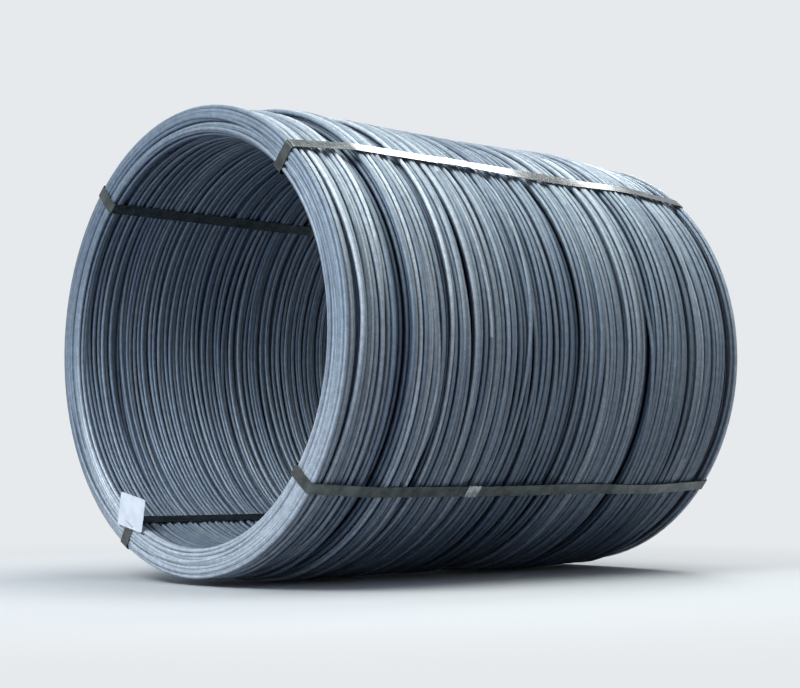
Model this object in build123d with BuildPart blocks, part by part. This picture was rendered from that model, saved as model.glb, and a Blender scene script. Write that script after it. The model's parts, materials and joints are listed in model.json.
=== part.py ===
from build123d import *
from math import ceil, cos, radians, sin
import os

os.makedirs("parts", exist_ok=True)

# A coil of hot-rolled wire rod, lying on its side with four flat steel straps
# round its wall and a blank tag on the strap at the lower left of the front end.
# The axis runs along Y, the tagged end faces -Y, and the floor is Z = 0.
# Angles round the axis run clockwise from the top, as seen from the front end.

# Rod and wall
bore_diameter = 1060.0
wall_thickness = 78.0       # of the first and the last bundle
full_bundle_rise = 17.0     # of the fullest bundles above these; the coil lies on them
coil_length = 1500.0        # over the end turns
rod_diameter = 12.0
rod_sides = 6               # a ridge of two flats stands for the round rod in an end turn
edge_setback = 5.0          # how far the first and last turn of an end lie behind the rest

# Bundles of turns along the outside, from front to back
bundle_widths = (185.0, 134.0, 91.0, 236.0, 170.0, 280.0, 171.0, 191.0, 42.0)
bundle_fullness = (0.0, 1.0, 0.85, 0.55, 0.4, 0.5, 1.0, 0.15, 0.0)    # share of the full rise
gap_width = 18.0
gap_depth = 8.0             # below the lower of the two bundles beside it

# Straps and their crimped seals
strap_angles = (41.0, 128.0, 209.0, 316.0)
strap_width = 32.0
strap_thickness = 1.0
strap_bend = 8.0            # inside radius where a strap turns over an end
seal_length = 44.0
seal_wall = 1.2
seal_bundle = 4             # the seals lie over this slack bundle, where a strap runs clear of the rod

# Tag and its wire tie
tag_strap = 3               # the strap that the tag stands at
tag_width = 115.0
tag_height = 88.0
tag_thickness = 0.8
tag_corner = 6.0
tag_turn = 11.0             # clockwise, as seen from the front
tag_sideways = 8.0          # tag centre from its tie, to the right as seen from the front
tag_rise = 31.0             # and up
tie_wire = 1.6
tie_corner = 1.2
tie_turn = 1                # the tie lies behind the strap, after this many end turns

clearance = 0.3             # between a piece and what it rests on

# Derived sizes
bore_radius = bore_diameter / 2
end_radius = bore_radius + wall_thickness
coil_radius = end_radius + full_bundle_rise
half_length = coil_length / 2
strap_sagitta = strap_width**2 / 8 / bore_radius
strap_front = clearance + strap_thickness
tag_back = strap_front + clearance
tie_front = tag_back + tag_thickness + clearance + tie_wire
middle_y = (tie_front - strap_front) / 2    # puts the origin under the middle of all the pieces
middle = (0, middle_y, coil_radius)
turn_peak = rod_diameter / 2 / cos(radians(180 / rod_sides))    # from a turn's middle to its ridge


def toward(angle):
    """Unit vector from the axis to the wall at an angle, and the one along the turns."""
    turn = radians(angle)
    return Vector(sin(turn), 0, cos(turn)), Vector(cos(turn), 0, -sin(turn))


def wall_plane(angle):
    """Plane through the axis: x runs out from the axis and y along it."""
    out, along_turn = toward(angle)
    return Plane(origin=middle, x_dir=out, z_dir=-along_turn)


def end_plane(depth):
    """Plane across the front end, at a distance in front of its foremost turns."""
    origin = Vector(0, middle_y - half_length - depth, coil_radius)
    return Plane(origin=origin, x_dir=(1, 0, 0), z_dir=(0, -1, 0))


def end_turns():
    """Radius and setback of each turn in an end, from the bore outwards."""
    span = end_radius - bore_radius - rod_diameter
    steps = ceil(span / rod_diameter)
    turns = []
    for step in range(steps + 1):
        radius = bore_radius + rod_diameter / 2 + span * step / steps
        at_edge = step in (0, steps)
        turns.append((radius, turn_peak + (edge_setback if at_edge else 0)))
    return turns


def bundles():
    """Start, end and radius of each bundle along the outside, from front to back."""
    stretch = coil_length / sum(bundle_widths)
    rows = []
    start = -half_length
    for width, fullness in zip(bundle_widths, bundle_fullness):
        rows.append((start, start + width * stretch, end_radius + full_bundle_rise * fullness))
        start += width * stretch
    return rows


def outside_profile():
    """Crowns of the bundles and the V-shaped gaps between them, from front to back."""
    rows = bundles()
    points = []
    for (_, gap, radius), (_, _, next_radius) in zip(rows[:-1], rows[1:]):
        points.append((radius, gap - gap_width / 2))
        points.append((min(radius, next_radius) - gap_depth, gap))
        points.append((next_radius, gap + gap_width / 2))
    return points


# Wall of the coil: its turns show as rings on both ends and as bundles outside
turns = end_turns()
front_turns = [(radius, setback - half_length) for radius, setback in turns]
back_turns = [(radius, half_length - setback) for radius, setback in reversed(turns)]
front_edge_y = front_turns[0][1]

with BuildPart() as rod_coil:
    with BuildSketch(wall_plane(90)) as wall:
        with BuildLine():
            Polyline(
                (bore_radius, front_edge_y),
                *front_turns,
                (end_radius, front_edge_y),
                *outside_profile(),
                (end_radius, -front_edge_y),
                *back_turns,
                (bore_radius, -front_edge_y),
                close=True,
            )
        make_face()
        with Locations(*front_turns, *back_turns):
            RegularPolygon(rod_diameter / 2, rod_sides, major_radius=False, rotation=180 / rod_sides)
    revolve(axis=Axis(middle, (0, 1, 0)))
rod_coil.part.label = "rod_coil"
export_step(rod_coil.part, "parts/rod_coil.step")


# Straps: each is one closed loop, out over the fullest bundles and back through the bore
def strap_seat():
    """Outline that the inside of a strap follows, in the plane through the axis."""
    inside = bore_radius - strap_sagitta - clearance
    outside = end_radius + clearance
    top = coil_radius + clearance
    end = half_length + clearance
    full = [row for row, fullness in zip(bundles(), bundle_fullness) if fullness == max(bundle_fullness)]
    crown = (full[0][0] + gap_width / 2, full[-1][1] - gap_width / 2)
    return [(inside, -end), (outside, -end), (top, crown[0]), (top, crown[1]), (outside, end), (inside, end)]


seal_bed_start, seal_bed_end, _ = bundles()[seal_bundle - 1]
seal_place = (seal_bed_start + seal_bed_end) / 2

for number, angle in enumerate(strap_angles, start=1):
    out, along_turn = toward(angle)

    with BuildPart() as strap:
        with BuildSketch(wall_plane(angle)) as band:
            with BuildLine():
                FilletPolyline(*strap_seat(), radius=strap_bend, close=True)
            seat_face = make_face(mode=Mode.PRIVATE)
            offset(seat_face, amount=strap_thickness)
            add(seat_face, mode=Mode.SUBTRACT)
        extrude(amount=strap_width / 2, both=True)
    strap.part.label = f"strap_{number}"
    export_step(strap.part, f"parts/strap_{number}.step")

    # Seal: a sleeve crimped round the lapped strap
    seal_middle = Vector(middle) + out * (coil_radius + clearance + strap_thickness / 2)
    seal_start = seal_middle + Vector(0, seal_place - seal_length / 2, 0)
    with BuildPart() as seal:
        with BuildSketch(Plane(origin=seal_start, x_dir=along_turn, z_dir=(0, 1, 0))) as sleeve:
            inner_width = strap_width + 2 * clearance
            inner_height = strap_thickness + 2 * clearance
            Rectangle(inner_width + 2 * seal_wall, inner_height + 2 * seal_wall)
            Rectangle(inner_width, inner_height, mode=Mode.SUBTRACT)
        extrude(amount=seal_length)
    seal.part.label = f"seal_{number}"
    export_step(seal.part, f"parts/seal_{number}.step")

# Tag: a blank plate against the strap at the lower left, held by a wire tie
tag_strap_angle = strap_angles[tag_strap - 1]
out, along_turn = toward(tag_strap_angle)
groove = (turns[tie_turn - 1][0] + turns[tie_turn][0]) / 2
tie_reach = strap_width / 2 + clearance + tie_wire / 2
tie_middle = out * groove
tie_holes = [tie_middle + along_turn * side * tie_reach for side in (-1, 1)]

with BuildPart() as tag:
    with BuildSketch(end_plane(tag_back)) as plate:
        with Locations((tie_middle.X + tag_sideways, tie_middle.Z + tag_rise)):
            outline = Rectangle(tag_width, tag_height, rotation=-tag_turn)
        chamfer(outline.vertices(), tag_corner)
        with Locations(*[(hole.X, hole.Z) for hole in tie_holes]):
            hole_side = tie_wire + 2 * clearance
            Rectangle(hole_side, hole_side, rotation=-tag_strap_angle, mode=Mode.SUBTRACT)
    extrude(amount=tag_thickness)
tag.part.label = "tag"
export_step(tag.part, "parts/tag.step")

# Tie: a wire loop, behind the strap in the groove between two end turns and through the tag
with BuildPart() as tag_tie:
    loop_middle = Vector(middle) + tie_middle + Vector(0, -half_length - (tie_front - tie_wire) / 2, 0)
    loop_plane = Plane(origin=loop_middle, x_dir=along_turn, z_dir=out)
    with BuildSketch(loop_plane.offset(-tie_wire / 2)) as loop:
        outer = Rectangle(2 * tie_reach + tie_wire, tie_front + tie_wire)
        chamfer(outer.vertices(), tie_corner)
        Rectangle(2 * tie_reach - tie_wire, tie_front - tie_wire, mode=Mode.SUBTRACT)
    extrude(amount=tie_wire)
tag_tie.part.label = "tag_tie"
export_step(tag_tie.part, "parts/tag_tie.step")
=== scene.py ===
# %% [markdown]
# A coil of hot-rolled wire rod lies on its side. It weighs about a tonne and a half: one long rod, 12 mm
# thick, laid in loops and pressed together, with four flat steel straps round its wall and a blank tag
# on the strap at the lower left of the front end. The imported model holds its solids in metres. It is
# loaded first and never moved, and everything that follows is built round it.

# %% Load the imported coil
import json
from math import cos, pi, radians, sin

import bmesh
import bpy
import numpy as np
from mathutils import Matrix, Vector


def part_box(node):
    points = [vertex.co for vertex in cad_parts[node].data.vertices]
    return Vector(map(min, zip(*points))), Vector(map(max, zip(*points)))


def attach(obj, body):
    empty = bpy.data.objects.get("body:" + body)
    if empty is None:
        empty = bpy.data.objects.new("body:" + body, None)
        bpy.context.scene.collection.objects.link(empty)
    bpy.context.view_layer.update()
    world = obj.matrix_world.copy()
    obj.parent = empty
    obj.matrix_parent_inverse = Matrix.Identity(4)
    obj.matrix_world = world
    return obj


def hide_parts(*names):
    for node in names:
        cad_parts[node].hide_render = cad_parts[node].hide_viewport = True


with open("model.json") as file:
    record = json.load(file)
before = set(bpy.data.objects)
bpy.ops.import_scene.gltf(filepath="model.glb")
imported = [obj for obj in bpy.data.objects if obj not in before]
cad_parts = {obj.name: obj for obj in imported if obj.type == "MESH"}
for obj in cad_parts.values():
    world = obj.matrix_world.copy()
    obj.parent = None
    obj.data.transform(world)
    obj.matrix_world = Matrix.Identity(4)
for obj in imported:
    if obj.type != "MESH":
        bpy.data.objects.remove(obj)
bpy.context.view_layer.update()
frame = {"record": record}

# %% [markdown]
# The bore and the outside are round one axis, which runs along Y. Places on the coil are easiest to give
# as a radius, an angle clockwise from the top (seen from the front) and a place along the axis. The
# bore comes from the record and the outside from the coil's own solid, so that they agree with both.

# %% Axis, radii and ends
bore_mount = frame["record"]["mounts"][0]
axis_place = Vector(bore_mount["pos_m"])
bore_radius = bore_mount["dims"]["r_mm"] / 1000
coil_low, coil_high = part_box("rod_coil")
coil_radius = (coil_high.x - coil_low.x) / 2
half_length = (coil_high.y - coil_low.y) / 2
wall = 0.078                # of the first and the last bundle
end_radius = bore_radius + wall
rod = 0.012                 # its diameter
print("bore", bore_radius, "outside", coil_radius, "half length", half_length)


def coil_point(radius, angle, along):
    """A place on the coil: its radius, its angle clockwise from the top, and its place from the middle."""
    turn = radians(angle)
    return Vector((radius * sin(turn), along, radius * cos(turn))) + axis_place


# %% [markdown]
# Each piece of the coil is an object with a mesh. It rides on the imported body, carries its material,
# and stands for the node that it dresses, which is then hidden. Three small helpers do this for all.


# %% Helpers for objects
def add_object(name, data):
    added = bpy.data.objects.new(name, data)
    bpy.context.scene.collection.objects.link(added)
    return added


def add_piece(name, mesh, material, node):
    """A finished mesh as a piece that rides on the coil and stands for that node."""
    mesh.materials.append(material)
    piece = add_object(name, mesh)
    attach(piece, "root")
    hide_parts(node)


def to_mesh(bm, name):
    """The mesh of a finished bmesh."""
    mesh = bpy.data.meshes.new(name)
    bm.to_mesh(mesh)
    bm.free()
    return mesh


# %% [markdown]
# The camera stands low in front and to the right, about five metres off, so that the front end, the
# dark bore and the whole right side show. A long lens keeps both ends nearly the same size.

# %% Camera
camera_turn = 47.2          # degrees round the coil from straight in front
camera_reach = 5.107        # metres from the middle of the coil, over the floor
camera_height = 0.30
camera_aim_turn = 0.142     # degrees that its aim is turned off that middle
camera_rise = 3.935         # degrees that it looks up
camera_lens = 80.9          # millimetres

camera_data = bpy.data.cameras.new("camera")
camera_data.lens = camera_lens
camera = add_object("camera", camera_data)
turn = radians(camera_turn)
camera.location = (sin(turn) * camera_reach, -cos(turn) * camera_reach, camera_height)
aim_turn = radians(camera_turn + camera_aim_turn)
aim_rise = radians(camera_rise)
aim = Vector((-sin(aim_turn) * cos(aim_rise), cos(aim_turn) * cos(aim_rise), sin(aim_rise)))
camera.rotation_euler = aim.to_track_quat("-Z", "Y").to_euler()
bpy.context.scene.camera = camera
print("camera at", tuple(round(x, 3) for x in camera.location))

# %% [markdown]
# Materials are made of nodes. Two small helpers keep the node code short: one makes a material with its
# Principled shader, the other adds a node and sets its inputs.


# %% Helpers for nodes
def new_material(name, roughness, metallic):
    """A material with its shader, whose constants are set on the shader's own sockets."""
    material = bpy.data.materials.new(name)
    material.use_nodes = True
    shader = material.node_tree.nodes["Principled BSDF"]
    shader.inputs["Roughness"].default_value = roughness
    shader.inputs["Metallic"].default_value = metallic
    return material, shader


def add_node(material, kind, settings=None, **values):
    """A node of that kind. Settings are the node's own, values are its unlinked inputs."""
    node = material.node_tree.nodes.new(kind)
    for name, value in (settings or {}).items():
        setattr(node, name, value)
    for name, value in values.items():
        node.inputs[name.replace("_", " ")].default_value = value
    return node


def link(material, start, end):
    material.node_tree.links.new(start, end)


# %% [markdown]
# Patterns come from noise on Object coordinates, so a patch of scale runs on over all the turns of the
# coil. A ramp turns the noise into colours, a map range into a gloss, and a bump node into fine relief.


# %% Helpers for patterns
def patches(material, scale, detail):
    """Cloudy noise on Object coordinates, with about that many patches in a metre."""
    place = add_node(material, "ShaderNodeTexCoord")
    noise = add_node(material, "ShaderNodeTexNoise", Scale=scale, Detail=detail)
    link(material, place.outputs["Object"], noise.inputs["Vector"])
    return noise.outputs["Fac"]


def ramp(material, value, stops):
    """Colours along a value from 0 to 1."""
    node = add_node(material, "ShaderNodeValToRGB")
    link(material, value, node.inputs["Fac"])
    while len(node.color_ramp.elements) < len(stops):
        node.color_ramp.elements.new(0.5)
    for element, (place, colour) in zip(node.color_ramp.elements, stops):
        element.position = place
        element.color = (*colour, 1)
    return node.outputs["Color"]


def blend_colours(material, share, first, second, kind="MIX"):
    """Two colours mixed by a share, each a socket or a plain colour."""
    node = add_node(material, "ShaderNodeMix", {"data_type": "RGBA", "blend_type": kind})
    for socket, value in ((node.inputs[0], share), (node.inputs[6], first), (node.inputs[7], second)):
        if isinstance(value, bpy.types.NodeSocket):
            link(material, value, socket)
        else:
            socket.default_value = value if isinstance(value, float) else (*value, 1)
    return node.outputs[2]


def vary(material, value, low, high):
    """A value from 0 to 1 stretched to run from low to high."""
    node = add_node(material, "ShaderNodeMapRange", To_Min=low, To_Max=high)
    link(material, value, node.inputs["Value"])
    return node.outputs["Result"]


def bump(material, shader, height, distance, strength):
    """Relief of about that many metres, which only the light shows."""
    node = add_node(material, "ShaderNodeBump", Strength=strength, Distance=distance)
    link(material, height, node.inputs["Height"])
    link(material, node.outputs["Normal"], shader.inputs["Normal"])


# %% [markdown]
# Rod that has cooled after rolling carries mill scale, a hard blue-grey skin of oxide. It is neither
# bare metal nor paint: part of the light glances off it, more where the scale is smooth. No two turns
# have quite the same tone, so each turn carries a random number in an attribute that shifts its colour,
# and slow patches of bluer scale lie over all of them. Where the number is high the scale is rubbed
# pale, and there the blue is gone. The number also carries painted shade and painted light: it is lower
# on the hidden layers and in the gaps, and higher low down on the end rings, where it reaches the pale
# rubbed colour.

# %% Mill scale
scale_dark = (0.080, 0.110, 0.155)
scale_pale = (0.265, 0.318, 0.350)
scale_blue = (0.118, 0.160, 0.228)
scale_worn_and_lit = (0.520, 0.565, 0.590)
rubbing_starts = 0.7        # of a turn's tone
fleck_shades = [(0.38, (0.84, 0.84, 0.84)), (0.62, (1.06, 1.06, 1.06))]
flake_shades = [(0.40, (0.88, 0.88, 0.89)), (0.66, (1.10, 1.10, 1.09))]


def speckle(material, colour, spots, shades):
    """A colour that spots make darker and paler than it is."""
    return blend_colours(material, 1.0, colour, ramp(material, spots, shades), "MULTIPLY")


def mill_scale():
    material, shader = new_material("mill_scale", roughness=0.48, metallic=0.22)
    tone = add_node(material, "ShaderNodeAttribute", {"attribute_name": "tone_and_painted_shading"}).outputs["Fac"]
    by_turn = ramp(material, tone, [(0.0, scale_dark), (rubbing_starts, scale_pale)])
    blueness = vary(material, patches(material, scale=3.2, detail=4), low=-0.2, high=0.9)
    blued = blend_colours(material, blueness, by_turn, scale_blue)
    # the pale rubbed colour stands for real wear and, low down on the end rings, for painted light
    rubbing_and_light = add_node(material, "ShaderNodeMapRange", From_Min=rubbing_starts, From_Max=1.0)
    link(material, tone, rubbing_and_light.inputs["Value"])
    rubbed_and_lit = blend_colours(material, rubbing_and_light.outputs["Result"], blued, scale_worn_and_lit)
    flecked = speckle(material, rubbed_and_lit, patches(material, scale=60, detail=5), fleck_shades)
    flaked = speckle(material, flecked, patches(material, scale=260, detail=4), flake_shades)
    link(material, flaked, shader.inputs["Base Color"])
    gloss = vary(material, patches(material, scale=22, detail=3), low=0.38, high=0.58)
    link(material, gloss, shader.inputs["Roughness"])
    bump(material, shader, patches(material, scale=420, detail=3), distance=0.0004, strength=0.35)
    return material


rod_finish = mill_scale()
print("made", rod_finish.name)

# %% [markdown]
# A turn of rod is one closed ring. The section is a circle of six points, one of them outermost, spun
# once round the axis, and smooth shading makes it look round. Each of its points knows at which step
# round the ring it is, and where it lies in the section.

# %% One turn of rod
sections = 96               # steps round a turn
rod_sides = 6
section_turn = pi / rod_sides
angles = np.arange(sections) * 2 * pi / sections


def spin_round(bm, section, centre):
    """Spins a section once round the axis and closes the ring."""
    bmesh.ops.spin(
        bm, geom=section, cent=centre, axis=(0, 1, 0), dvec=(0, 0, 0), angle=2 * pi, steps=sections,
        use_merge=True,
    )
    bmesh.ops.remove_doubles(bm, verts=bm.verts, dist=1e-5)
    bmesh.ops.recalc_face_normals(bm, faces=bm.faces)


def one_turn():
    """The ring that every turn is a copy of, with the step and the offset of each of its points."""
    bm = bmesh.new()
    bmesh.ops.create_circle(bm, segments=rod_sides, radius=rod / 2)
    point_outward = Matrix.Rotation(pi / 2, 3, "Y") @ Matrix.Rotation(section_turn, 3, "Z")
    bmesh.ops.rotate(bm, verts=bm.verts, cent=(0, 0, 0), matrix=point_outward)
    bmesh.ops.translate(bm, verts=bm.verts, vec=(0, 0, end_radius))
    spin_round(bm, bm.verts[:] + bm.edges[:], (0, 0, 0))
    for face in bm.faces:
        face.smooth = True
    mesh = to_mesh(bm, "one_turn")
    place = np.array([vertex.co for vertex in mesh.vertices])
    step = np.rint(np.arctan2(place[:, 0], place[:, 2]) * sections / (2 * pi)).astype(int) % sections
    outward = np.hypot(place[:, 0], place[:, 2]) - end_radius
    return mesh, step, outward, place[:, 1]


ring, ring_step, ring_out, ring_along = one_turn()
print("its section reaches", np.round([ring_out.max(), ring_along.max()], 5), "outwards and along")
print("one turn has", len(ring.vertices), "points and", 2 * len(ring.polygons), "triangles")


# %% [markdown]
# All turns are copies of that ring. Moving the points of each section by the same step bends a turn
# without changing its thickness. The copies are appended in one bmesh, because hundreds of objects
# would be slow, and each keeps its tone in an attribute.


# %% A piece of many turns
def lay_out(name, radius, along, tone):
    """A piece of many turns. Radius, place along the axis and tone have a row for each turn and a column
    for each step round it, or one column where a turn's tone is the same all the way."""
    bm = bmesh.new()
    for _ in range(len(radius)):
        bm.from_mesh(ring)
    mesh = to_mesh(bm, name)
    reach = radius[:, ring_step] + ring_out
    turn = angles[ring_step]
    place = np.stack([
        axis_place.x + reach * np.sin(turn),
        axis_place.y + along[:, ring_step] + ring_along,
        axis_place.z + reach * np.cos(turn),
    ], axis=-1)
    mesh.vertices.foreach_set("co", place.astype(np.float32).ravel())
    shade = mesh.attributes.new("tone_and_painted_shading", "FLOAT", "POINT")
    tone_rows = np.broadcast_to(np.reshape(tone, (len(radius), -1)), radius.shape)
    shade.data.foreach_set("value", tone_rows[:, ring_step].astype(np.float32).ravel())
    mesh.update()
    add_piece(name, mesh, rod_finish, "rod_coil")
    print(name, len(radius), "turns,", 2 * len(mesh.polygons), "triangles")


# %% [markdown]
# No turn is a true circle. It wanders a little to and fro as it goes round, and it has to close, so its
# wandering is a sum of a few waves that fit the full turn. Turns are laid one after the other: each
# rests on what is under it, and where it crosses a turn that was laid before, it climbs over it. A rod
# is stiff, so it starts to climb early and comes down late.

# %% Wandering and laying turns
climb_steps = 2             # steps round a turn in which a rod starts to climb before a crossing


def wander(luck, count, amount, waves=4):
    """Closed wandering for a number of turns, of about that amount to each side."""
    rows = np.zeros((count, sections))
    for wave in range(1, waves + 1):
        size = luck.normal(0, 1, (count, 1)) / wave
        start = luck.uniform(0, 2 * pi, (count, 1))
        rows += size * np.sin(wave * angles + start)
    usual_swing = 1.2           # of such a sum of waves
    return amount * rows / usual_swing


def unevenness(luck, along, amount, longest, shortest, slants):
    """Swells of the wall between two lengths, for places round and along it. Each slant is a swell's own:
    how many of its lengths it moves along the coil in one turn."""
    swell = np.zeros_like(along)
    for slant in slants:
        length = luck.uniform(shortest, longest)
        start = luck.uniform(0, 2 * pi)
        swell += np.sin(2 * pi * along / length + slant * angles + start)
    return amount * swell / len(slants) ** 0.5


def stiffen(height):
    """A gentle line, as of a stiff rod, that stays on or above these heights."""
    steps = range(-climb_steps, climb_steps + 1)
    highest = np.max([np.roll(height, step) for step in steps], axis=0)
    return np.mean([np.roll(highest, step) for step in steps], axis=0)


def lay_turns(across, ground, ceiling):
    """Height of each turn over the wall. It rests on its ground, climbs over the turns laid before it, and
    is pressed down where it would rise above its ceiling."""
    height = np.zeros_like(across)
    for turn in range(len(across)):
        side = np.abs(across[turn] - across[:turn])
        over = height[:turn] + np.sqrt(np.clip(rod**2 - side**2, 0, None))
        bed = np.where(side < rod, over, -np.inf)
        rest = np.max(np.vstack([bed, ground[turn][None]]), axis=0)
        height[turn] = np.minimum(stiffen(rest), ceiling[turn])
    return height


example = wander(np.random.default_rng(1), 200, 0.001)
print("wandering of about 1 mm stays within", round(1000 * float(np.abs(example).max()), 1), "mm")

# %% [markdown]
# The outside is made in two layers. The lower one is close and regular, and shows only in the gaps. The
# upper one lies in bundles of uneven width, the way the loops fell into place, with a dark gap after
# each. The two fullest bundles stand out most: the coil lies on them, and they hold the straps off the
# rest. Between two straps the turns spring out a little.

# %% Bundles along the outside
bundle_widths = np.array([185, 134, 91, 236, 170, 280, 171, 191, 42]) / 1000
bundle_fullness = np.array([0.0, 1.0, 0.85, 0.55, 0.4, 0.5, 1.0, 0.15, 0.0])
bundle_ends = np.cumsum(bundle_widths) - half_length
bundle_starts = bundle_ends - bundle_widths
crowns = end_radius + (coil_radius - end_radius) * bundle_fullness
strap_angles = [41, 128, 209, 316]
free_from_strap = 40        # degrees from a strap to where it holds a turn no more
free_room = 0.6             # share of the room over a slack bundle that its turns can spring into


def spring_out():
    """Share from 0 at a strap to 1 midway to the next one, for each step round a turn."""
    straps = np.radians(strap_angles)
    away = np.abs((angles[:, None] - straps + pi) % (2 * pi) - pi).min(axis=1)
    return np.clip(away / radians(free_from_strap), 0, 1) ** 2


between_straps = spring_out()
end_depth = 0.024           # how far the turns of the outside stay behind an end
print("bundles end at", np.round(bundle_ends, 3))


def crown_at(along):
    """Radius of the bundles' crowns, smoothed from one bundle to the next."""
    middles = (bundle_starts + bundle_ends) / 2
    return np.interp(along, middles, crowns)


def top_height(crown):
    """Highest middle line of a turn: on the crown under a strap, up to the coil's radius between straps."""
    room = free_room * (coil_radius - crown)
    return crown + between_straps * room - rod / 2


# %% [markdown]
# The lower layer is what a gap between two bundles shows: turns side by side and nearly straight. Their
# tones carry painted shade: lower than the upper layer's, and lower still in a gap, where little light
# gets in. They start a rod's thickness apart and share one slow drift, because the loops under a bundle
# all lean the same way.

# %% Lower layer of the outside
gap = 0.025                 # between two bundles of the upper layer
gap_drop = 0.010            # of the lower layer's turns in a gap
# painted shade: in a gap the lower turns' tone is cut by this share
gap_shade = 0.8             # share of their tone that these turns lose
lower_depth = 0.023         # middle line of the lower layer, under the crowns
lower_drift = 0.0045        # how far all its turns wander together along the coil
lower_wander = 0.0006       # how far each wanders on its own
lower_lift = 0.0010         # how far each goes in and out
# painted shade: the lower layer's tones are kept low because it lies under the upper one
painted_shade_lower_tones = (0.1, 0.4)

luck = np.random.default_rng(11)
limit = half_length - end_depth
shared_drift = wander(luck, 1, lower_drift)
places = np.arange(-limit, limit, rod)[:, None]
in_gap = np.abs(places - bundle_ends[:-1]).min(axis=1) < gap / 2
lower_along = places + shared_drift + wander(luck, len(places), lower_wander)
lower_radius = crown_at(lower_along) - lower_depth - gap_drop * in_gap[:, None]
lower_radius = lower_radius + wander(luck, len(places), lower_lift)
lower_tone_and_shade = luck.uniform(*painted_shade_lower_tones, len(places)) * (1 - gap_shade * in_gap)
lay_out("outer_turns_lower", lower_radius, lower_along, lower_tone_and_shade)

# %% [markdown]
# The upper layer is laid in a random order, as loops come to lie that fall one after the other. Each
# turn starts at its own place in a bundle and wanders its own way, some far more than the rest, and a
# few strays cross from one bundle to the next. The later of two crossing turns rises, and the small
# shadows beside it show that the wall is wound and not just grooved.

# %% Places in the upper layer
spacing = 0.0115            # of the turns that start side by side in a bundle


def bundle_rows():
    """Start place, share across its bundle and crown of each turn in the upper layer."""
    rows = []
    for start, end, crown in zip(bundle_starts, bundle_ends, crowns):
        first = max(start + gap / 2 + rod / 2, -limit)
        last = min(end - gap / 2 - rod / 2, limit)
        count = max(int((last - first) / spacing) + 1, 1)
        for place in np.linspace(first, last, count):
            rows.append((place, 2 * (place - start) / (end - start) - 1, crown))
    return np.array(rows)


rows = bundle_rows()
rows = rows[luck.permutation(len(rows))]
print("upper layer of the outside,", len(rows), "turns in", len(crowns), "bundles")

# %% [markdown]
# A bundle was pushed together as a whole, so its turns drift together. Its outermost turns lie deeper,
# which rounds its edges. About a third of all turns is restless and wanders much farther. The strays come
# last, so that they are laid over the rest and cross it at a slant.

# %% Wandering in the upper layer
upper_depth = 0.0120        # middle line of the upper layer, under the crowns
bundle_wander = 0.0045      # how far the turns of a bundle wander together
upper_wander = 0.0026       # how far each wanders on its own
upper_lift = 0.0008         # how far each goes in and out
restless_share = 0.3
restlessness = 3.2          # how many times as far a restless turn wanders
edge_rounding = 0.012       # how much deeper the outermost turns of a bundle lie
stray_count = 30
stray_wander = 0.018
stray_depth = 0.016
stray_end = 0.09            # how far strays start behind an end

bundle_drift = wander(luck, len(crowns), bundle_wander, waves=3)
upper_along = rows[:, :1] + shared_drift + bundle_drift[np.searchsorted(bundle_ends, rows[:, 0])]
restless = np.where(luck.uniform(0, 1, (len(rows), 1)) < restless_share, restlessness, 1.0)
upper_along = upper_along + wander(luck, len(rows), upper_wander) * restless
upper_ground = rows[:, 2:3] - upper_depth - edge_rounding * np.abs(rows[:, 1:2]) ** 4
upper_ground = upper_ground + wander(luck, len(rows), upper_lift)
stray_along = luck.uniform(stray_end - half_length, half_length - stray_end, (stray_count, 1))
stray_along = stray_along + wander(luck, stray_count, stray_wander, waves=2)
upper_along = np.clip(np.vstack([upper_along, stray_along]), -limit, limit)
upper_ground = np.vstack([upper_ground, crown_at(stray_along) - stray_depth])
print("turns lie between", np.round([upper_along.min(), upper_along.max()], 3), "along the axis")

# %% [markdown]
# The wall itself is uneven: long swells run slantwise along the coil, and short ones raise some turns
# over their neighbours. Then all turns are laid, one after the other, on that ground and on each other.
# The first bundle is the palest, and the others differ a little in tone.

# %% Upper layer of the outside
usual_tone = 0.58
tone_spread = 0.15
bundle_paleness = 0.12      # how far a bundle's tone may differ from the usual one
first_paleness = 0.25

swells = unevenness(luck, upper_along, amount=0.0018, longest=0.80, shortest=0.25, slants=(1, 2, 3, 4))
rises = unevenness(luck, upper_along, amount=0.0022, longest=0.13, shortest=0.05, slants=(0, 0, 1, -1, 2))
upper_radius = lay_turns(upper_along, upper_ground + swells + rises, top_height(crown_at(upper_along)))
paleness = luck.uniform(-bundle_paleness, bundle_paleness, len(crowns))
paleness[0] = first_paleness
bundle_tone = paleness[np.searchsorted(bundle_ends, upper_along.mean(axis=1))]
upper_tone = np.clip(luck.normal(usual_tone, tone_spread, len(upper_along)) + bundle_tone, 0.1, 1.0)
lay_out("outer_turns_upper", upper_radius, upper_along, upper_tone)
print("outermost", round(float(upper_radius.max() + rod / 2), 4))

# %% [markdown]
# The inside of the wall is laid the same way, but upside down: a turn that climbs over another comes
# nearer to the axis. Heights are therefore measured towards the axis, as minus the radius. Turns that
# wander too near an end are stopped there, each at its own place, so that no two lie in the same spot.

# %% Turns that line the bore
inner_depth = 0.0195        # middle line of the lower layer, behind the bore's surface
inner_drift = 0.004         # how far all its turns wander together along the coil
lining_depth = 0.0090       # middle line of the upper layer, which lines the bore
lining_drift = 0.006
lining_wander = 0.0055      # how far each of its turns wanders on its own
bore_lift = 0.0008          # how far the turns of both layers go in and out
lining_count = 108
lining_stops = 0.003        # spread of the places where its turns are stopped
# painted shade: the bore's lower layer gets lower tones than the lining over it
painted_shade_inner_tones = (0.2, 0.45)
lining_tones = (0.35, 0.78)

inner_along = places + wander(luck, 1, inner_drift) + wander(luck, len(places), lower_wander)
inner_radius = bore_radius + inner_depth + wander(luck, len(places), bore_lift)
lay_out("bore_turns_lower", inner_radius, inner_along, luck.uniform(*painted_shade_inner_tones, len(places)))

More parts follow.
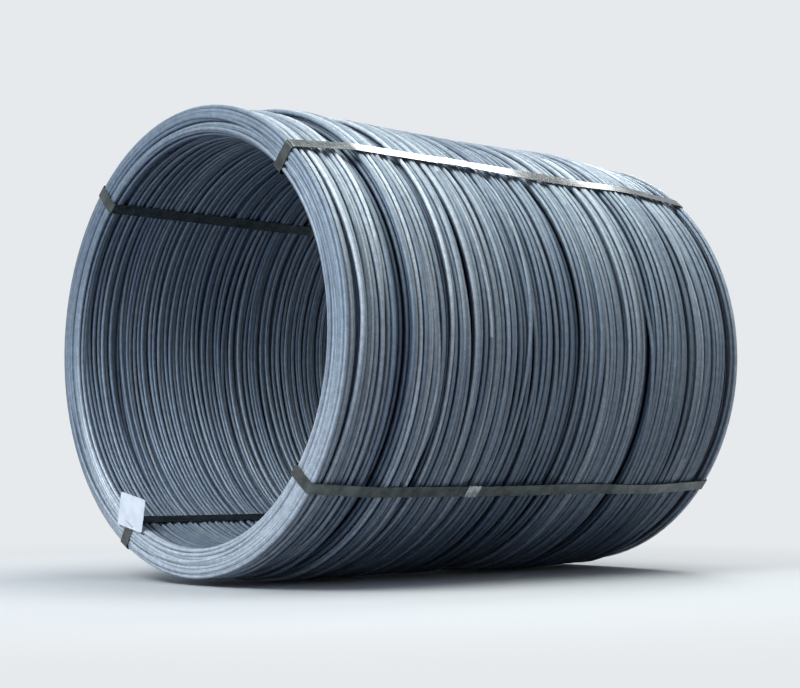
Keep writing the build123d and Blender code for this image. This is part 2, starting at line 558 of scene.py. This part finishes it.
lining_place = np.linspace(-limit, limit, lining_count)[luck.permutation(lining_count)][:, None]
lining_along = lining_place + wander(luck, 1, lining_drift) + wander(luck, lining_count, lining_wander)
lining_limit = limit - np.linspace(0, lining_stops, lining_count)[:, None]
lining_along = np.clip(lining_along, -lining_limit, lining_limit)
lining_ground = wander(luck, lining_count, bore_lift) - (bore_radius + lining_depth)
lining_ceiling = np.full_like(lining_along, -(bore_radius + rod / 2))
lining_radius = -lay_turns(lining_along, lining_ground, lining_ceiling)
lay_out("bore_turns_upper", lining_radius, lining_along, luck.uniform(*lining_tones, lining_count))
print("innermost", round(float(lining_radius.min() - rod / 2), 4))

# %% [markdown]
# Each end shows its last loops lying flat on each other. The deepest are rings side by side. Those on
# top of them are round too, but off centre, so they cross each other at slight angles, and this is what
# gives a coil's end its fanned look. Here the height is how far a turn stands out of the end. The scale
# of the end turns is rubbed paler than the rest. Their colour also carries painted light, paler low down
# where the ring's lower edge faces the light, and painted shade, darker on the left.

# %% Turns of an end
deep_count = 7
deep_wander = 0.0009
loose_count = 10
loose_wander = 0.0018
loose_inset = 0.004         # of the first and the last loose turn from the wall's edges
loose_shift = (0.3, 1.0)    # share of its room that a loose turn lies off centre
end_bed = 0.0170            # middle line of the deep turns, behind the end
end_lift = 0.0014           # how far the turns of an end go in and out
edge_step = 0.004           # how much deeper the turns at the bore and at the outside lie
edge_reach = 0.006          # how far in from these edges that goes
most_sunk = 0.005           # how far the loose turns may stay behind the end
edge_stops = 0.0008         # spread of the places where turns are stopped at these edges
end_tones = (0.45, 0.85)
# painted light low down and painted shade on the left, added to the end turns' tone
painted_light_low_down = 0.55
painted_shade_on_left = 0.18


def end_turns(name, seed, facing):
    """The turns of one end. Facing is -1 at the front and 1 at the rear."""
    luck = np.random.default_rng(seed)
    inner = bore_radius + rod / 2
    outer = end_radius - rod / 2
    deep = np.linspace(inner, outer, deep_count)[:, None] + wander(luck, deep_count, deep_wander)
    middle = np.linspace(inner + loose_inset, outer - loose_inset, loose_count)
    middle = middle[luck.permutation(loose_count)][:, None]
    room = np.minimum(middle - inner, outer - middle)
    off_centre = room * luck.uniform(*loose_shift, (loose_count, 1))
    side = luck.uniform(0, 2 * pi, (loose_count, 1))
    loose = middle + off_centre * np.cos(angles - side) + wander(luck, loose_count, loose_wander)
    spread = np.linspace(0, edge_stops, deep_count + loose_count)[:, None]
    across = np.clip(np.vstack([deep, loose]), inner + spread, outer - spread)
    edge = edge_step * np.exp(-np.minimum(across - inner, outer - across) / edge_reach)
    ground = half_length - end_bed - edge + wander(luck, len(across), end_lift)
    sunk = most_sunk * luck.uniform(0, 1, (len(across), 1)) ** 1.5
    ceiling = half_length - rod / 2 - np.maximum(sunk, edge)
    height = lay_turns(across, ground, ceiling)
    # painted light makes the ring paler low down, and painted shade makes it darker on the left
    lit_share_low_down = ((1 - np.cos(angles)) / 2) ** 2
    shaded_share_on_left = np.maximum(-np.sin(angles), 0)
    tone = luck.uniform(*end_tones, (len(across), 1))
    tone = tone + painted_light_low_down * lit_share_low_down - painted_shade_on_left * shaded_share_on_left
    lay_out(name, across, facing * height, tone)


end_turns("front_end_turns", seed=21, facing=-1)
end_turns("rear_end_turns", seed=22, facing=1)

# %% [markdown]
# Light must not shine through between the turns, and what shows in a deep gap is more rod in the dark.
# A turned core fills the middle of the wall: a rectangle spun round the axis. Its colour is painted shade,
# near black, with painted dark grooves.

# %% Core in the dark of the wall
core_behind_lining = 0.004
core_depth = 0.030          # under the first bundle's crown
core_inner = bore_radius + inner_depth + core_behind_lining
core_outer = end_radius - core_depth
core_half = half_length - end_depth


def dark_core():
    """The middle of the wall, which nobody sees but through a gap."""
    bm = bmesh.new()
    corners = [(core_inner, -core_half), (core_outer, -core_half)]
    corners += [(radius, -along) for radius, along in reversed(corners)]
    points = [bm.verts.new(coil_point(radius, 0, along)) for radius, along in corners]
    edges = [bm.edges.new((points[corner - 1], points[corner])) for corner in range(len(points))]
    spin_round(bm, points + edges, axis_place)
    mesh = to_mesh(bm, "inner_turns")
    # painted shade: a near-black colour with painted grooves, for rod that only lies in the dark
    material, shader = new_material("painted_shade_core", roughness=0.7, metallic=0.2)
    grooves = add_node(material, "ShaderNodeTexWave", {"bands_direction": "Y"}, Scale=26.0, Distortion=1.5)
    place = add_node(material, "ShaderNodeTexCoord")
    link(material, place.outputs["Object"], grooves.inputs["Vector"])
    painted_groove_shades = [(0.2, (0.010, 0.013, 0.020)), (0.9, (0.05, 0.062, 0.085))]
    link(material, ramp(material, grooves.outputs["Fac"], painted_groove_shades), shader.inputs["Base Color"])
    add_piece("inner_turns", mesh, material, "rod_coil")
    print("inner_turns", len(mesh.polygons), "faces, from radius", core_inner, "to", core_outer)


dark_core()

# %% [markdown]
# Four flat straps hold the loops together. Their steel is rolled cold, so it has no scale. It is dark and
# smooth: it hardly shows in the shade, and mirrors the light as a white streak where it lies on top.
# Slow stains vary its colour, and finer patches its gloss, which makes that streak uneven.


# %% Strap steel
def strap_steel():
    material, shader = new_material("plain_strap_steel", roughness=0.24, metallic=0.9)
    strap_shades = [(0.35, (0.062, 0.072, 0.072)), (0.62, (0.125, 0.140, 0.136))]
    colour = ramp(material, patches(material, scale=34, detail=4), strap_shades)
    link(material, colour, shader.inputs["Base Color"])
    gloss = vary(material, patches(material, scale=90, detail=3), low=0.16, high=0.34)
    link(material, gloss, shader.inputs["Roughness"])
    bump(material, shader, patches(material, scale=150, detail=3), distance=0.0005, strength=0.25)
    return material


strap_finish = strap_steel()
print("made", strap_finish.name)

# %% [markdown]
# Straps, seals, tag and tie are all finished the same way: faces turned outwards, smooth shading that
# stops at edges, a material, and the node that the piece stands for. Each is shaped flat, on its own
# axes, and then moved to its place by one matrix, so that its object stays at the origin. Its box is
# printed beside its node's, which shows at once when a piece has slipped.

# %% Helpers for small pieces
smooth_up_to = 35           # degrees between two faces


def finish_piece(name, bm, material, node):
    """Makes the bmesh a piece that stands for that node."""
    bmesh.ops.recalc_face_normals(bm, faces=bm.faces)
    for face in bm.faces:
        face.smooth = True
    mesh = to_mesh(bm, name)
    mesh.set_sharp_from_angle(angle=radians(smooth_up_to))
    add_piece(name, mesh, material, node)
    low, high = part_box(node)
    own = np.array([vertex.co for vertex in mesh.vertices])
    off = 1000 * np.concatenate([own.min(axis=0) - np.array(low), own.max(axis=0) - np.array(high)])
    print(name, len(mesh.polygons), "faces, its box is off its node's by", np.round(off, 2), "mm")


def wall_matrix(angle):
    """From a piece's own axes (out from the axis, along it, across the strap) to the coil at that angle."""
    turn = radians(angle)
    out = Vector((sin(turn), 0, cos(turn)))
    across = out.cross(Vector((0, 1, 0)))
    matrix = Matrix((out, (0, 1, 0), across)).transposed().to_4x4()
    return Matrix.Translation(axis_place) @ matrix


# %% [markdown]
# Each strap is one band, 32 mm wide and 1 mm thick: out along the wall, round the end, and back through
# the bore. The line of its outer face has six corners: it lies on the end turns and on the two fullest
# bundles, and runs clear of the rod between these.

# %% Line of a strap
clearance = 0.0003
strap_width = 0.032
strap_thickness = 0.001
strap_bend = 0.009          # radius of its outer face where it turns over an end
strap_face = clearance + strap_thickness        # outer face of the band from what it lies on
strap_sagitta = strap_width**2 / 8 / bore_radius            # its middle stays this far off the round bore
first_full = 1              # the two fullest bundles, counted from 0
last_full = 6
crown_inset = 0.009         # from the edge of a full bundle to where the strap lies on it


def strap_line():
    """Corners of a strap's outer face: place along the coil and radius."""
    inside = bore_radius - strap_sagitta - strap_face
    outside = end_radius + strap_face
    top = coil_radius + strap_face
    end = half_length + strap_face
    first_crown = bundle_starts[first_full] + crown_inset
    last_crown = bundle_ends[last_full] - crown_inset
    front = [(-end, inside), (-end, outside), (first_crown, top)]
    rear = [(last_crown, top), (end, outside), (end, inside)]
    return front + rear


print("corners of a strap (along, radius)", [tuple(round(x, 4) for x in corner) for corner in strap_line()])

# %% [markdown]
# A strap is pulled tight, and then its outer end lies on the inner one, goes through the seal and ends
# in a free tail. This lap is a short second band: a divided grid whose last part lifts a little.

# %% Lap of a strap
seal_bundle = 3             # the slack bundle under the seals, counted from 0
seal_place = (bundle_starts[seal_bundle] + bundle_ends[seal_bundle]) / 2
lap_length = 0.120
lap_width = strap_width - 0.001                 # a little less, so that the two bands show
lap_shift = 0.012           # of the lap's middle from the seal's
tail_length = 0.040
tail_lift = 0.0015


def add_lap(bm):
    """The band's outer end, on top of the inner one."""
    grid = bmesh.ops.create_grid(bm, x_segments=8, y_segments=1, size=0.5)
    points = grid["verts"]
    bmesh.ops.scale(bm, vec=(lap_length, lap_width, 1), verts=points)
    for point in points:
        tail = max(point.co.x - lap_length / 2 + tail_length, 0) / tail_length
        point.co.z = tail_lift * tail**2
    faces = list({face for point in points for face in point.link_faces})
    made = bmesh.ops.solidify(bm, geom=faces, thickness=strap_thickness)
    lap = points + [part for part in made["geom"] if isinstance(part, bmesh.types.BMVert)]
    onto_strap = Matrix(((0, 0, 1), (1, 0, 0), (0, 1, 0))).to_4x4()
    place = Vector((coil_radius + strap_face + strap_thickness, seal_place + lap_shift, 0))
    bmesh.ops.transform(bm, matrix=Matrix.Translation(place) @ onto_strap, verts=list(set(lap)))


print("the lap is", lap_length, "long, and its seal lies", round(float(seal_place), 4), "from the middle")

# %% [markdown]
# The four corners of the line at the ends are bevelled to round bends, and the long runs are divided.
# The line is then extruded to the band's width and given its thickness. Over the slack bundles nothing
# holds a strap, so there it dips, waves and twists a little. That breaks its white streak in two: the
# strap mirrors the lamp up to the place where it twists, and again where it climbs to the next full
# bundle.

# %% Straps
slack_places = [-0.10, 0.03, 0.15, 0.27, 0.31, 0.41]        # along the coil
slack_shape = [0.0, 0.5, 1.0, 1.0, 0.95, 0.0]               # share of the dip at these places
twist_shape = [0.0, 0.8, 1.0, 0.5, 0.1, 0.0]                # and of the twist
slack_dip = 0.0038
strap_twists = [10, -5, 4, -7]                              # degrees
wave_sizes = (0.0002, 0.0005)                               # least and most
wave_rates = (19, 41)                                       # radians in a metre
long_run = 0.09                                             # edges longer than this are divided
run_cuts = 24


def slacken(bm, luck, most):
    """Dips and twists the band over the slack bundles."""
    starts = luck.uniform(0, 2 * pi, 2)
    sizes = luck.uniform(*wave_sizes, 2)
    waves = list(zip(sizes, wave_rates, starts))
    for point in bm.verts:
        if point.co.x > coil_radius:
            along = point.co.y
            slack = np.interp(along, slack_places, slack_shape)
            wave = sum(size * sin(rate * along + start) for size, rate, start in waves)
            twist = radians(most) * np.interp(along, slack_places, twist_shape)
            point.co.x += point.co.z * sin(twist) - slack * (slack_dip + wave)
            point.co.z *= cos(twist)


def make_strap(number, angle):
    """One band on its own axes, with its lap, moved to its angle on the wall."""
    luck = np.random.default_rng(40 + number)
    bm = bmesh.new()
    points = [bm.verts.new((radius, along, 0)) for along, radius in strap_line()]
    for corner in range(len(points)):
        bm.edges.new((points[corner - 1], points[corner]))
    bmesh.ops.bevel(
        bm, geom=points[:2] + points[-2:], offset=strap_bend, offset_type="OFFSET",
        segments=6, profile=0.5, affect="VERTICES", material=-1,
    )
    runs = [edge for edge in bm.edges if edge.calc_length() > long_run]
    bmesh.ops.subdivide_edges(bm, edges=runs, cuts=run_cuts)
    band = bmesh.ops.extrude_edge_only(bm, edges=bm.edges[:])
    wide = [part for part in band["geom"] if isinstance(part, bmesh.types.BMVert)]
    bmesh.ops.translate(bm, verts=wide, vec=(0, 0, strap_width))
    bmesh.ops.translate(bm, verts=bm.verts, vec=(0, 0, -strap_width / 2))
    slacken(bm, luck, strap_twists[number - 1])
    bmesh.ops.recalc_face_normals(bm, faces=bm.faces)
    bmesh.ops.solidify(bm, geom=bm.faces[:], thickness=strap_thickness)
    add_lap(bm)
    bmesh.ops.transform(bm, matrix=wall_matrix(angle), verts=bm.verts)
    finish_piece(f"steel_strap_{number}", bm, strap_finish, f"strap_{number}")


for number, angle in enumerate(strap_angles, start=1):
    make_strap(number, angle)

# %% [markdown]
# A seal holds the two ends of each band: a sleeve of thicker steel, crimped at two places so that its
# edges bite into the bands. It starts as a box, is cut across where the crimps come, and the cuts are
# drawn in. It lies where the band runs clear of the rod, over a slack bundle.

# %% Seals
seal_length = 0.044
seal_width = 0.0350
seal_height = 0.0045
crimps = (-0.011, 0.011)    # from the seal's middle
crimp_half = 0.0045
drawn_in_to = (0.82, 1, 0.86)                   # of its height, length and width
seal_edge = 0.0005


def seal_steel():
    material, shader = new_material("bright_seal_steel", roughness=0.34, metallic=0.9)
    seal_shades = [(0.35, (0.34, 0.36, 0.38)), (0.65, (0.62, 0.64, 0.66))]
    colour = ramp(material, patches(material, scale=70, detail=4), seal_shades)
    link(material, colour, shader.inputs["Base Color"])
    bump(material, shader, patches(material, scale=260, detail=3), distance=0.0004, strength=0.3)
    return material


seal_finish = seal_steel()


def make_seal(number, angle):
    """A box, cut and drawn in at the crimps, with its edges broken."""
    bm = bmesh.new()
    bmesh.ops.create_cube(bm, size=1)
    bmesh.ops.scale(bm, vec=(seal_height, seal_length, seal_width), verts=bm.verts)
    for crimp in crimps:
        for step in (-crimp_half, 0, crimp_half):
            geom = bm.verts[:] + bm.edges[:] + bm.faces[:]
            bmesh.ops.bisect_plane(bm, geom=geom, plane_co=(0, crimp + step, 0), plane_no=(0, 1, 0))
    for crimp in crimps:
        drawn_in = [point for point in bm.verts if abs(point.co.y - crimp) < 1e-4]
        bmesh.ops.scale(bm, vec=drawn_in_to, verts=drawn_in)
    bmesh.ops.bevel(
        bm, geom=bm.edges[:], offset=seal_edge, offset_type="OFFSET", segments=2, profile=0.5,
        affect="EDGES", material=-1,
    )
    place = wall_matrix(angle) @ Matrix.Translation((coil_radius + strap_face, seal_place, 0))
    bmesh.ops.transform(bm, matrix=place, verts=bm.verts)
    finish_piece(f"crimped_seal_{number}", bm, seal_finish, f"seal_{number}")


for number, angle in enumerate(strap_angles, start=1):
    make_seal(number, angle)

# %% [markdown]
# The tag is a thin white plate with clipped corners. It leans against the strap at the lower left of
# the front end, and a loop of soft wire goes through it and behind the strap. It was handled, so it is
# no longer flat: its right edge and its upper left corner curl forward a little. Nothing is written on it.

# %% Tag
tag_low, tag_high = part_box("tag")
tag_width = 0.115
tag_height = 0.088
tag_corner = 0.006
tag_turn = 11               # degrees clockwise, seen from the front
curl_right = 0.0006         # how far its right edge has come forward
curl_top = 0.0007           # and its upper left corner
tag_strap_angle = strap_angles[2]


def tag_enamel():
    material, shader = new_material("white_tag", roughness=0.42, metallic=0.0)
    tag_shades = [(0.38, (0.78, 0.79, 0.79)), (0.60, (0.88, 0.89, 0.89))]
    colour = ramp(material, patches(material, scale=26, detail=5), tag_shades)
    link(material, colour, shader.inputs["Base Color"])
    bump(material, shader, patches(material, scale=60, detail=2), distance=0.0006, strength=0.2)
    return material


def make_tag():
    """A grid with clipped corners, curled, thickened and stood up against the strap."""
    bm = bmesh.new()
    bmesh.ops.create_grid(bm, x_segments=8, y_segments=6, size=0.5)
    bmesh.ops.scale(bm, vec=(tag_width, tag_height, 1), verts=bm.verts)
    corners = [point for point in bm.verts if len(point.link_edges) == 2]
    bmesh.ops.bevel(
        bm, geom=corners, offset=tag_corner, offset_type="OFFSET", segments=3, profile=0.5,
        affect="VERTICES", material=-1,
    )
    for point in bm.verts:
        right = 2 * point.co.x / tag_width
        up = 2 * point.co.y / tag_height
        point.co.z = curl_right * max(right, 0) ** 2 + curl_top * max(up, 0) ** 2 * (1 - right) / 2
    bmesh.ops.recalc_face_normals(bm, faces=bm.faces)
    thickness = tag_high.y - tag_low.y
    bmesh.ops.solidify(bm, geom=bm.faces[:], thickness=-thickness)
    middle = (tag_low + tag_high) / 2 - Vector((0, thickness / 2, 0))
    upright = Matrix.Rotation(pi / 2, 4, "X") @ Matrix.Rotation(radians(-tag_turn), 4, "Z")
    bmesh.ops.transform(bm, matrix=Matrix.Translation(middle) @ upright, verts=bm.verts)
    finish_piece("blank_tag", bm, tag_enamel(), "tag")


make_tag()

# %% [markdown]
# The tie is one turn of soft wire. A curve is the simplest way to a round wire: a closed line through
# the middle of the wire, with a bevel for its thickness. It is made a mesh before it takes its place.

# %% Wire tie
tie_low, tie_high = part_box("tag_tie")
tie_wire = 0.0016
tie_reach = strap_width / 2 + clearance + tie_wire / 2


def make_tie():
    """A closed line made round, across the strap behind it and through the tag in front."""
    depth = (tie_high.y - tie_low.y - tie_wire) / 2
    data = bpy.data.curves.new("tie_line", "CURVE")
    data.dimensions = "3D"
    data.bevel_depth = tie_wire / 2
    data.bevel_resolution = 3
    line = data.splines.new("BEZIER")
    in_front = [(share * tie_reach, -depth) for share in (-1, -0.5, 0.5, 1)]
    corners = in_front + [(tie_reach, depth), (-tie_reach, depth)]
    line.bezier_points.add(len(corners) - 1)
    for point, (across, along) in zip(line.bezier_points, corners):
        point.co = (0, along, across)
        point.handle_left_type = point.handle_right_type = "VECTOR"
    line.use_cyclic_u = True
    holder = add_object("tie_line", data)
    mesh = bpy.data.meshes.new_from_object(holder.evaluated_get(bpy.context.evaluated_depsgraph_get()))
    bpy.data.objects.remove(holder)
    bm = bmesh.new()
    bm.from_mesh(mesh)
    bmesh.ops.remove_doubles(bm, verts=bm.verts, dist=1e-6)
    turn = wall_matrix(tag_strap_angle).to_3x3().to_4x4()
    bmesh.ops.transform(bm, matrix=Matrix.Translation((tie_low + tie_high) / 2) @ turn, verts=bm.verts)
    material, shader = new_material("soft_wire", roughness=0.38, metallic=0.9)
    wire_shades = [(0.4, (0.30, 0.31, 0.32)), (0.7, (0.52, 0.53, 0.54))]
    colour = ramp(material, patches(material, scale=300, detail=3), wire_shades)
    link(material, colour, shader.inputs["Base Color"])
    finish_piece("wire_tie", bm, material, "tag_tie")


make_tie()

# %% [markdown]
# The floor is plain and pale, and far out it turns into the backdrop's own colour, so that no horizon
# shows. Rays that leave the camera, or that metal mirrors, see that colour. Soft light that the floor
# sends up to the coil is made weaker and bluer than the floor looks, because the coil's underside is dark.

# %% Floor
backdrop_colour = (0.80, 0.82, 0.84)
floor_colour = (0.585, 0.58, 0.565)
bounce_colour = (0.11, 0.13, 0.18)      # the coil gets little light from below
fade_start = 0.9            # metres from the middle, where the backdrop's colour starts
fade_end = 2.6


def shows_backdrop(owner):
    """1 for rays that see the plain backdrop: from the camera, off metal or through glass."""
    path = add_node(owner, "ShaderNodeLightPath")
    total = path.outputs["Is Camera Ray"]
    for kind in ("Is Glossy Ray", "Is Transmission Ray"):
        both = add_node(owner, "ShaderNodeMath", {"operation": "ADD", "use_clamp": True})
        link(owner, total, both.inputs[0])
        link(owner, path.outputs[kind], both.inputs[1])
        total = both.outputs["Value"]
    return total


def pale_floor():
    """The floor's own colour near the coil, and the backdrop's far out."""
    material, shader = new_material("pale_floor", roughness=0.8, metallic=0.0)
    shader.inputs["Specular IOR Level"].default_value = 0.2
    place = add_node(material, "ShaderNodeTexCoord")
    far = add_node(material, "ShaderNodeVectorMath", {"operation": "LENGTH"})
    link(material, place.outputs["Object"], far.inputs[0])
    smooth = {"interpolation_type": "SMOOTHSTEP"}
    share = add_node(material, "ShaderNodeMapRange", smooth, From_Min=fade_start, From_Max=fade_end)
    link(material, far.outputs["Value"], share.inputs["Value"])
    seen = add_node(material, "ShaderNodeLightPath")
    colour = blend_colours(material, seen.outputs["Is Diffuse Ray"], floor_colour, bounce_colour)
    link(material, colour, shader.inputs["Base Color"])
    shown = add_node(material, "ShaderNodeMath", {"operation": "MULTIPLY"})
    link(material, share.outputs["Result"], shown.inputs[0])
    link(material, shows_backdrop(material), shown.inputs[1])
    plain = add_node(material, "ShaderNodeEmission", Color=(*backdrop_colour, 1))
    mix = add_node(material, "ShaderNodeMixShader")
    link(material, shown.outputs["Value"], mix.inputs["Fac"])
    link(material, shader.outputs["BSDF"], mix.inputs[1])
    link(material, plain.outputs["Emission"], mix.inputs[2])
    link(material, mix.outputs["Shader"], material.node_tree.nodes["Material Output"].inputs["Surface"])
    return material


bm = bmesh.new()
bmesh.ops.create_grid(bm, x_segments=1, y_segments=1, size=60)
floor_mesh = to_mesh(bm, "floor")
floor_mesh.materials.append(pale_floor())
floor = add_object("floor", floor_mesh)
print("floor", tuple(floor.dimensions))


# %% [markdown]
# The light is soft and comes from disks: a wide one overhead, one in front for the end's face, a small
# one behind, which the strap on top mirrors, and a weak blue one low on the right. The sky adds light
# from above and from the left, and its strength falls off towards the other side.


# %% Lamps and sky
def soft_lamp(name, place, size, power, colour):
    """A round lamp that faces the coil."""
    data = bpy.data.lights.new(name, "AREA")
    data.shape = "DISK"
    data.size = size
    data.energy = power
    data.color = colour
    lamp = add_object(name, data)
    lamp.location = place
    lamp.rotation_euler = (axis_place - Vector(place)).to_track_quat("-Z", "Y").to_euler()
    print(name, power, "watts,", round((axis_place - Vector(place)).length, 1), "metres from the axis")


soft_lamp("overhead_lamp", (1.4, 0.6, 5.0), size=3.4, power=175, colour=(0.93, 1.0, 0.98))
soft_lamp("front_lamp", (0.5, -4.5, 4.0), size=2.6, power=240, colour=(0.88, 0.94, 1.0))
soft_lamp("rear_lamp", (-0.85, 3.0, 4.15), size=1.4, power=70, colour=(1.0, 1.0, 1.0))
soft_lamp("fill_lamp", (1.3, -5.2, 1.1), size=2.2, power=65, colour=(0.52, 0.70, 1.0))

world = bpy.data.worlds.new("studio")
bpy.context.scene.world = world
world.use_nodes = True
direction = add_node(world, "ShaderNodeTexCoord")
brighter_side = add_node(world, "ShaderNodeVectorMath", {"operation": "DOT_PRODUCT"})
brighter_side.inputs[1].default_value = Vector((-0.35, 0.10, 0.85)).normalized()
strength = add_node(world, "ShaderNodeMapRange", From_Min=-0.6, From_Max=1.0, To_Min=0.06, To_Max=0.62)
sky = world.node_tree.nodes["Background"]
sky.inputs["Color"].default_value = (0.72, 0.82, 1.0, 1)
backdrop = add_node(world, "ShaderNodeBackground", Color=(*backdrop_colour, 1))
choose = add_node(world, "ShaderNodeMixShader")
link(world, direction.outputs["Generated"], brighter_side.inputs[0])
link(world, brighter_side.outputs["Value"], strength.inputs["Value"])
link(world, strength.outputs["Result"], sky.inputs["Strength"])
link(world, shows_backdrop(world), choose.inputs["Fac"])
link(world, sky.outputs["Background"], choose.inputs[1])
link(world, backdrop.outputs["Background"], choose.inputs[2])
link(world, choose.outputs["Shader"], world.node_tree.nodes["World Output"].inputs["Surface"])

bpy.context.scene.view_settings.view_transform = "Standard"
